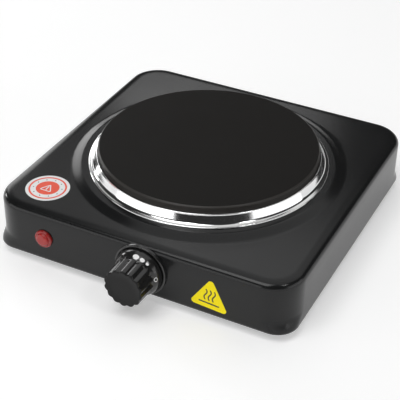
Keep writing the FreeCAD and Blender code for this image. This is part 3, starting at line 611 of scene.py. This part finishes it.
def fillMarks(work):
    for degrees, radius in markPlan["dots"]:
        fillMark(work, degrees, radius, 0)
    fillMark(work, markPlan["offAngle"], markPlan["offOuter"], markPlan["offInner"] / markPlan["offOuter"])


makePiece("knobMarks", "control_knob", [], ["markWhite"], fillMarks, 30)

# ---- dial plate

# the tab shows the setting; its size is across, towards the cook and along the radius
dialPlan = {"rim": 1.9 * mm, "rimOuterSoft": 1.0 * mm, "rimInnerSoft": 0.5 * mm, "floor": 0.8 * mm,
            "floorSoft": 0.2 * mm, "height": 2.6 * mm, "hub": 6 * mm, "tab": Vector((1.9, 3.3, 2.0)) * mm,
            "tabAngle": 4.0, "tabInset": 1.15 * mm, "tabSoft": 0.3 * mm}
dialRadius = (dialHigh.x - dialLow.x) / 2


def fillDial(work):
    plan = dialPlan
    inner = dialRadius - plan["rim"]
    corners = [(plan["hub"], 0, 0), (dialRadius, 0, 0), (dialRadius, plan["height"], plan["rimOuterSoft"]),
               (inner, plan["height"], plan["rimInnerSoft"]), (inner, plan["floor"], plan["floorSoft"]),
               (plan["hub"], plan["floor"], 0)]
    lathe(work, rounded(corners, True), knobAxis, True)
    tab = bmesh.ops.create_cube(work, size=1)["verts"]
    size, lean = plan["tab"], math.radians(plan["tabAngle"])
    sideways = Vector((math.cos(lean), 0, -math.sin(lean)))
    for vert in tab:
        along = dialRadius - plan["tabInset"] + vert.co.z * size.z
        vert.co = onKnob(along, lean, (0.5 - vert.co.y) * size.y) + sideways * vert.co.x * size.x
    edges = {e for v in tab for e in v.link_edges}
    bmesh.ops.bevel(work, geom=list(edges), offset=plan["tabSoft"], segments=3, affect="EDGES")


makePiece("dialRing", "burner", ["dial_plate"], ["knobBlack"], fillDial, 35)

# ---- pilot lens

# radius, distance from the panel and rounding of each corner, in mm; head and barrel
lensPlan = {"head": [(0, 4.2, 0), (4.0, 4.2, 0.6), (5.3, 3.2, 0.4), (5.7, 2.0, 0.2), (6.8, 2.1, 0.3)],
            "rimHeight": 1.4, "rimSoft": 0.5,
            "barrel": [(6.3, 0, 0), (6.3, -14, 0), (4.2, -14, 0), (4.2, 1.0, 0.8), (0, 1.0, 0)], "sides": 96}


def fillLens(work):
    plan, radius = lensPlan, (lensHigh.x - lensLow.x) / 2 / mm
    corners = plan["head"] + [(radius, plan["rimHeight"], plan["rimSoft"]), (radius, 0, 0)] + plan["barrel"]
    path = [(r * mm, h * mm) for r, h in rounded(corners)]
    lathe(work, path, lensAxis, True, plan["sides"], closed=False)


makePiece("pilotLens", "burner", ["pilot_lens"], ["lensRed"], fillLens, 30)
print("dial and lens made")

# ---- printed labels: thin films laid on each other, drawn in a plane by across and along

# shares are of the round label's radius, or of the small sign's reach where they belong to it
filmPlan = {"film": 0.05 * mm, "base": 0.12 * mm}
roundPlan = {"outerBand": (0.86, 0.78), "innerDisc": 0.53, "signReach": 0.36, "signDrop": 0.06,
             "signOuter": (1.75, 0.16), "signInner": (1.28, 0.08), "signSteps": 4, "bar": (-0.42, 0.34, 0.16),
             "spots": 10, "spotRing": 0.655, "spotSize": 0.028, "spotSides": 10}
signPlan = {"tilt": -4, "side": 33.0 * mm, "corner": 2.6 * mm, "border": 0.18 * mm, "cornerShare": 0.4,
            "waveSwing": 1.0 * mm, "waveWidth": 1.0 * mm, "waveApart": 3.4 * mm, "waveFoot": -2.3 * mm,
            "waveTop": 7.6 * mm, "barHalf": 8.4 * mm, "barHeight": -4.9 * mm, "barWidth": 1.25 * mm}
roundLow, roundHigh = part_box("round_label")
signLow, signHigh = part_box("triangle_label")


def onDeck(point, lift):
    middle = (roundLow + roundHigh) / 2
    return Vector((middle.x + point[0], middle.y + point[1], roundLow.z + lift))


def leaned(x, y):
    turn = math.radians(signPlan["tilt"])
    return x * math.cos(turn) - y * math.sin(turn), x * math.sin(turn) + y * math.cos(turn)


def onPanel(point, lift):
    across, along = leaned(*point)
    return Vector((signMiddle[0] + across, panelY - lift, signMiddle[1] + along))


def film(work, points, place, low, high, material):
    loops = [[work.verts.new(place(p, lift)) for p in points] for lift in (low, high)]
    bridge(work, loops, material)
    for loop in loops:
        work.faces.new(loop).material_index = material


def band(work, outer, inner, place, low, high, material):
    loops = [[work.verts.new(place(p, lift)) for p in circle(radius)]
             for radius, lift in ((outer, low), (outer, high), (inner, high), (inner, low))]
    bridge(work, loops, material, True)


def stroke(points, width):
    left, right = [], []
    for k, (x, y) in enumerate(points):
        x0, y0 = points[max(k - 1, 0)]
        x1, y1 = points[min(k + 1, len(points) - 1)]
        length = math.hypot(x1 - x0, y1 - y0)
        nx, ny = -(y1 - y0) / length * width / 2, (x1 - x0) / length * width / 2
        left.append((x + nx, y + ny))
        right.append((x - nx, y - ny))
    return left + right[::-1]


def roundedTriangle(side, corner, steps=8):
    reach = side / math.sqrt(3) - 2 * corner
    points = []
    for k in range(3):
        facing = math.pi / 2 + k * 2 * math.pi / 3
        cx, cy = reach * math.cos(facing), reach * math.sin(facing)
        for step in range(steps + 1):
            a = facing - math.pi / 3 + 2 * math.pi / 3 * step / steps
            points.append((cx + corner * math.cos(a), cy + corner * math.sin(a)))
    return points


def wave(x, low, high, swing, count=20):
    return [(x + swing * math.sin(2 * math.pi * k / count), low + (high - low) * k / count)
            for k in range(count + 1)]


# where the leaned triangle's own centre lies when its outline fills the label's box
def signCentre():
    xs, ys = zip(*(leaned(x, y) for x, y in roundedTriangle(signPlan["side"], signPlan["corner"])))
    middle = (signLow + signHigh) / 2
    return middle.x - (min(xs) + max(xs)) / 2, middle.z - (min(ys) + max(ys)) / 2


signMiddle = signCentre()


def fillRoundLabel(work):
    plan, radius = roundPlan, (roundHigh.x - roundLow.x) / 2
    base = filmPlan["base"]
    top = base + filmPlan["film"]
    over = top + filmPlan["film"]
    film(work, circle(radius), onDeck, 0, base, 0)
    wide, narrow = plan["outerBand"]
    band(work, radius * wide, radius * narrow, onDeck, base, top, 1)
    film(work, circle(radius * plan["innerDisc"]), onDeck, base, top, 1)
    reach = radius * plan["signReach"]
    outlines = []
    for side, corner in (plan["signOuter"], plan["signInner"]):
        outlines.append([(x, y - plan["signDrop"] * radius)
                         for x, y in roundedTriangle(reach * side, reach * corner, plan["signSteps"])])
    sign, hole = outlines
    loops = [[work.verts.new(onDeck(p, lift)) for p in points]
             for points, lift in ((sign, top), (sign, over), (hole, over), (hole, top))]
    bridge(work, loops, 0, True)
    foot, tip, wide = plan["bar"]
    film(work, stroke([(0, reach * foot), (0, reach * tip)], reach * wide), onDeck, top, over, 0)
    for k in range(plan["spots"]):
        a = 2 * math.pi * (k + 0.5) / plan["spots"]
        spot = (radius * plan["spotRing"] * math.cos(a), radius * plan["spotRing"] * math.sin(a))
        film(work, circle(radius * plan["spotSize"], plan["spotSides"], spot), onDeck, base, top, 2)


def fillSign(work):
    plan, base = signPlan, filmPlan["base"]
    top = base + filmPlan["film"]
    over = top + filmPlan["film"]
    film(work, roundedTriangle(plan["side"], plan["corner"]), onPanel, 0, base, 1)
    inner = roundedTriangle(plan["side"] - plan["border"] * 2 * math.sqrt(3),
                            plan["corner"] - plan["border"] * plan["cornerShare"])
    film(work, inner, onPanel, base, top, 0)
    for k in (-1, 0, 1):
        path = wave(k * plan["waveApart"], plan["waveFoot"], plan["waveTop"], -plan["waveSwing"])
        film(work, stroke(path, plan["waveWidth"]), onPanel, top, over, 1)
    bar = [(-plan["barHalf"], plan["barHeight"]), (plan["barHalf"], plan["barHeight"])]
    film(work, stroke(bar, plan["barWidth"]), onPanel, top, over, 1)


makePiece("roundLabel", "burner", ["round_label"],
          ["labelWhite", "labelRed", "labelBlack"], fillRoundLabel, 30)
makePiece("triangleLabel", "burner", ["triangle_label"],
          ["labelYellow", "labelBlack"], fillSign, 30)
print("labels made")

# ---- repeated things, grown by node trees: feet, screws and the coiled heating wire


def newTree(name, inputs):
    tree = bpy.data.node_groups.new(name, "GeometryNodeTree")
    tree.is_modifier = True
    tree.interface.new_socket("Geometry", in_out="INPUT", socket_type="NodeSocketGeometry")
    for label, kind in inputs:
        tree.interface.new_socket(label, in_out="INPUT", socket_type="NodeSocket" + kind)
    tree.interface.new_socket("Geometry", in_out="OUTPUT", socket_type="NodeSocketGeometry")
    return tree, addNode(tree, "NodeGroupInput").outputs, addNode(tree, "NodeGroupOutput")


def endTree(tree, made, given, out):
    real = addNode(tree, "GeometryNodeRealizeInstances", {"Geometry": made})
    dressed = addNode(tree, "GeometryNodeSetMaterial", {"Geometry": real.outputs[0],
                                                        "Material": given["Material"]})
    tree.links.new(dressed.outputs[0], out.inputs[0])
    return tree


# the given part at the corners of a grid; with a drive, two crossed slots are cut in its end first
def makeGridTree(name, withDrive):
    tree, given, out = newTree(name, [
        ("Columns", "Int"), ("Rows", "Int"), ("Span X", "Float"), ("Span Y", "Float"), ("Centre", "Vector"),
        ("Slot Width", "Float"), ("Slot Length", "Float"), ("Slot Depth", "Float"), ("Material", "Material")])
    grid = addNode(tree, "GeometryNodeMeshGrid", {
        "Size X": given["Span X"], "Size Y": given["Span Y"], "Vertices X": given["Columns"],
        "Vertices Y": given["Rows"]})
    placed = addNode(tree, "GeometryNodeTransform", {"Geometry": grid.outputs[0],
                                                     "Translation": given["Centre"]})
    part = given["Geometry"]
    if withDrive:
        deep = addNode(tree, "ShaderNodeMath", {0: given["Slot Depth"], 1: 2.0}, operation="MULTIPLY")
        for wide, tall in (("Slot Width", "Slot Length"), ("Slot Length", "Slot Width")):
            size = addNode(tree, "ShaderNodeCombineXYZ", {0: given[wide], 1: given[tall], 2: deep.outputs[0]})
            cutter = addNode(tree, "GeometryNodeMeshCube", {"Size": size.outputs[0]})
            cut = addNode(tree, "GeometryNodeMeshBoolean", {"Mesh 1": part, "Mesh 2": cutter.outputs[0]},
                          operation="DIFFERENCE")
            part = cut.outputs[0]
    made = addNode(tree, "GeometryNodeInstanceOnPoints", {"Points": placed.outputs[0], "Instance": part})
    return endTree(tree, made.outputs[0], given, out)


# a wire that coils round a circle: the big turn and the small turns both come from the point's number
def makeCoilTree():
    tree, given, out = newTree("coiledWire", [
        ("Points", "Int"), ("Turns", "Float"), ("Ring Radius", "Float"), ("Coil Radius", "Float"),
        ("Wire Radius", "Float"), ("Centre", "Vector"), ("Material", "Material")])

    def compute(operation, *values):
        return addNode(tree, "ShaderNodeMath", dict(enumerate(values)), operation=operation).outputs[0]

    loop = addNode(tree, "GeometryNodeCurvePrimitiveCircle", {"Resolution": given["Points"], "Radius": 1.0})
    share = compute("DIVIDE", addNode(tree, "GeometryNodeInputIndex").outputs[0], given["Points"])
    big = compute("MULTIPLY", share, 2 * math.pi)
    small = compute("MULTIPLY", big, given["Turns"])
    swing = compute("MULTIPLY", compute("COSINE", small), given["Coil Radius"])
    reach = compute("ADD", given["Ring Radius"], swing)
    place = addNode(tree, "ShaderNodeCombineXYZ", {
        0: compute("MULTIPLY", reach, compute("COSINE", big)),
        1: compute("MULTIPLY", reach, compute("SINE", big)),
        2: compute("MULTIPLY", compute("SINE", small), given["Coil Radius"])})
    moved = addNode(tree, "ShaderNodeVectorMath", {0: place.outputs[0], 1: given["Centre"]}, operation="ADD")
    path = addNode(tree, "GeometryNodeSetPosition", {"Geometry": loop.outputs[0], "Position": moved.outputs[0]})
    section = addNode(tree, "GeometryNodeCurvePrimitiveCircle", {"Resolution": 5,
                                                                 "Radius": given["Wire Radius"]})
    wire = addNode(tree, "GeometryNodeCurveToMesh", {"Curve": path.outputs[0],
                                                     "Profile Curve": section.outputs[0]})
    return endTree(tree, wire.outputs[0], given, out)


# runs a tree for each set of sizes, over the part that fill draws, and joins what grows into one plain mesh
def growPiece(name, body, replaced, tree, runs, fill, sharp):
    grown = bmesh.new()
    for sizes in runs:
        holder = linkObject(name, drawMesh(name, fill) if fill else bpy.data.meshes.new(name))
        modifier = holder.modifiers.new("grow", "NODES")
        modifier.node_group = tree
        for item in tree.interface.items_tree:
            if item.in_out == "INPUT" and item.name in sizes:
                modifier[item.identifier] = sizes[item.name]
        ready = holder.evaluated_get(bpy.context.evaluated_depsgraph_get())
        made = bpy.data.meshes.new_from_object(ready)
        grown.from_mesh(made)
        bpy.data.objects.remove(holder)
        bpy.data.meshes.remove(made)

    def takeGrown(work):
        flat = bpy.data.meshes.new(name)
        grown.to_mesh(flat)
        work.from_mesh(flat)
        bpy.data.meshes.remove(flat)

    makePiece(name, body, replaced, [runs[0]["Material"].name], takeGrown, sharp)
    grown.free()


# the four alike parts that a CAD node holds stand at the corners of its box, a radius in from its sides
def spread(node, radius, look, slots=(0, 0, 0)):
    low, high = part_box(node)
    middle = (low + high) / 2
    return {"Columns": 2, "Rows": 2, "Span X": high.x - low.x - 2 * radius,
            "Span Y": high.y - low.y - 2 * radius, "Centre": Vector((middle.x, middle.y, low.z)),
            "Material": looks[look], "Slot Width": slots[0], "Slot Length": slots[1], "Slot Depth": slots[2]}


# corners are (radius, height, rounding) in mm, drawn for a foot as tall as drawnHeight
footPlan = {"drawnHeight": 8, "radius": 10.0, "sides": 24, "steps": 2, "corners": [
    (2.1, 4.5, 0), (4.6, 4.5, 0.3), (4.6, 0.6, 0.4), (5.2, 0, 0.4), (8.2, 0, 0.8), (9.0, 1.2, 0.6),
    (9.3, 2.6, 0.5), (9.1, 3.2, 0.4), (9.6, 4.2, 0.4), (10.0, 8.0, 0.4), (2.1, 8.0, 0)]}


def fillFoot(work):
    plan = footPlan
    low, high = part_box("rubber_feet")
    stretch = (high.z - low.z) / mm / plan["drawnHeight"]
    corners = [(r, h * stretch, soft) for r, h, soft in plan["corners"]]
    path = [(r * mm, h * mm) for r, h in rounded(corners, True, plan["steps"])]
    lathe(work, path, Vector((0, 0, 0)), count=plan["sides"])


gridTree = makeGridTree("partsOnGrid", False)
growPiece("rubberFeet", "burner", ["rubber_feet"], gridTree,
          [spread("rubber_feet", footPlan["radius"] * mm, "rubberBlack")], fillFoot, 35)

# in mm; the two screws differ in the head and its crossed slots, given as width, length and depth
screwPlan = {"shank": 2.0, "domeRadius": 0.8, "domeHeight": 0.45, "domeSoft": 0.5, "underSoft": 0.1,
             "threadFrom": 0.4, "threadPitch": 0.7, "threadDepth": 0.3, "threadEnd": 0.9, "sides": 16,
             "steps": 2}
screwHeads = {"foot_screws": {"name": "footScrews", "head": 3.8, "high": 2.0, "slots": (0.9, 4.2, 1.1)},
              "base_screws": {"name": "baseScrews", "head": 3.6, "high": 1.8, "slots": (0.9, 4.0, 1.0)}}


def screwDrawer(node):
    def fillScrew(work):
        plan, top = screwPlan, screwHeads[node]
        head, high, shank, root = top["head"], top["high"], plan["shank"], plan["shank"] - plan["threadDepth"]
        low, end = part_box(node)
        tall = (end.z - low.z) / mm
        corners = [(0, 0, 0), (head * plan["domeRadius"], 0, 0),
                   (head, high * plan["domeHeight"], plan["domeSoft"]), (head, high, plan["underSoft"]),
                   (shank, high, 0)]
        turn = high + plan["threadFrom"]
        while turn < tall - plan["threadEnd"]:
            corners += [(shank, turn, 0), (root, turn + plan["threadPitch"] / 2, 0)]
            turn += plan["threadPitch"]
        corners += [(root, tall, 0), (0, tall, 0)]
        path = [(r * mm, h * mm) for r, h in rounded(corners, False, plan["steps"])]
        lathe(work, path, Vector((0, 0, 0)), count=plan["sides"], closed=False)
    return fillScrew


screwTree = makeGridTree("screwsOnGrid", True)
for node, top in screwHeads.items():
    slots = tuple(size * mm for size in top["slots"])
    growPiece(top["name"], "burner", [node], screwTree,
              [spread(node, top["head"] * mm, "plainSteel", slots)], screwDrawer(node), 30)

coilPlan = {"pitch": 2.3 * mm, "perTurn": 8, "coilRadius": 1.42 * mm, "wireRadius": 0.28 * mm,
            "rings": [36.0 * mm, 52.0 * mm, 68.0 * mm]}
coilLow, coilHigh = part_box("heating_coils")
coilRuns = []
for ringSize in coilPlan["rings"]:
    turns = round(2 * math.pi * ringSize / coilPlan["pitch"])
    coilRuns.append({"Points": turns * coilPlan["perTurn"], "Turns": float(turns), "Ring Radius": ringSize,
                     "Coil Radius": coilPlan["coilRadius"], "Wire Radius": coilPlan["wireRadius"],
                     "Centre": (coilLow + coilHigh) / 2, "Material": looks["darkSteel"]})
growPiece("heatingCoils", "burner", ["heating_coils"], makeCoilTree(), coilRuns, None, 60)
print("repeated parts grown")

# ---- CAD nodes that keep their shape

nodeLooks = {
    "zincSheet": "base_cover cover_brackets underside_disc heat_shield clamp_bar thermostat_frame",
    "plainSteel": "foot_nuts plate_terminals clamp_washer clamp_nut centre_stud thermostat_screws blade_rivet "
                  "thermostat_shaft clamp_screws earth_stud earth_nut",
    "darkSteel": "pressure_blade contact_blade bimetal_blade shaft_circlip knob_clip lamp_retainer",
    "brass": "thermostat_bush contact_buttons thermostat_tabs terminal_sleeves earth_lug",
    "steatite": "plate_terminal_block thermostat_insulators contact_pin", "magnesia": "insulating_fill",
    "whiteNylon": "lamp_back_cap mains_terminal_block", "rubberBlack": "cord_gland", "lampGlass": "neon_bulb",
    "sleeveRed": "switch_lead lamp_lead", "sleeveWhite": "element_lead", "sleeveBlue": "neutral_lead",
    "sleeveGreen": "earth_lead"}
for look, nodes in nodeLooks.items():
    for node in nodes.split():
        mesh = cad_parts[node].data
        mesh.materials.clear()
        mesh.materials.append(looks[look])

# ---- floor, lights and surroundings

# a pale floor that turns up at its rim, and soft boxes: turn from the front towards the right,
# height above the level in degrees, distance, width, height, strength of its glow
studio = {"floorTone": 0.86, "floorGlow": 0.31, "worldTone": 0.03, "flat": 1.1, "rim": 1.7, "rise": 0.22,
          "rimSteps": 12, "sides": 96,
          "boxes": {"overhead": (176, 69, 1.80, 2.0, 2.0, 0.80), "sideLeft": (-34, 14, 1.35, 1.5, 0.5, 1.6),
                    "sideRight": (92, 13, 1.35, 1.3, 0.55, 1.4), "backStrip": (205, 28.6, 2.0, 0.56, 0.15, 2.6),
                    "veilLeft": (218, 37.5, 1.8, 0.50, 0.48, 0.5), "veilTop": (202, 41, 1.8, 0.50, 0.28, 0.5),
                    "lowLeft": (234, 18, 1.6, 0.55, 0.66, 2.9), "frontTop": (-12, 62, 1.9, 1.1, 1.1, 4.0),
                    "leftSpot": (-99, 15, 1.5, 0.22, 0.22, 14.0), "rightSpot": (70, 51, 1.5, 0.20, 0.20, 14.0)}}


def fillFloor(work):
    plan = studio
    path = [(0, 0)]
    for a in arcAngles(math.pi / 2, plan["rimSteps"]):
        path.append((plan["flat"] + (plan["rim"] - plan["flat"]) * math.sin(a),
                     plan["rise"] * (1 - math.cos(a))))
    lathe(work, path, Vector((0, 0, 0)), count=plan["sides"], closed=False)


def makeStudio(plan):
    mesh = drawMesh("floor", fillFloor)
    mesh.shade_smooth()
    mesh.materials.append(newMaterial("floorTone", {
        "Roughness": 0.9, "Specular IOR Level": 0.1, "Base Color": grey(plan["floorTone"]),
        "Emission Color": grey(1.0), "Emission Strength": plan["floorGlow"]})[0])
    linkObject("floor", mesh)
    world = bpy.data.worlds.new("studio")
    world.use_nodes = True
    sky = world.node_tree.nodes["Background"].inputs
    sky["Color"].default_value, sky["Strength"].default_value = grey(1.0), plan["worldTone"]
    bpy.context.scene.world = world
    bpy.context.scene.view_settings.view_transform = "Standard"
    for name, (turn, rise, distance, wide, high, glow) in plan["boxes"].items():
        turn, rise = math.radians(turn), math.radians(rise)
        toBox = Vector((math.sin(turn) * math.cos(rise), -math.cos(turn) * math.cos(rise), math.sin(rise)))
        data = bpy.data.lights.new(name, "AREA")
        data.shape = "RECTANGLE"
        data.size, data.size_y = wide, high
        data.energy = glow * math.pi * wide * high
        lamp = linkObject(name, data)
        lamp.location = bodyCentre + toBox * distance
        lamp.rotation_euler = toBox.to_track_quat("Z", "Y").to_euler()


makeStudio(studio)
print("studio set")
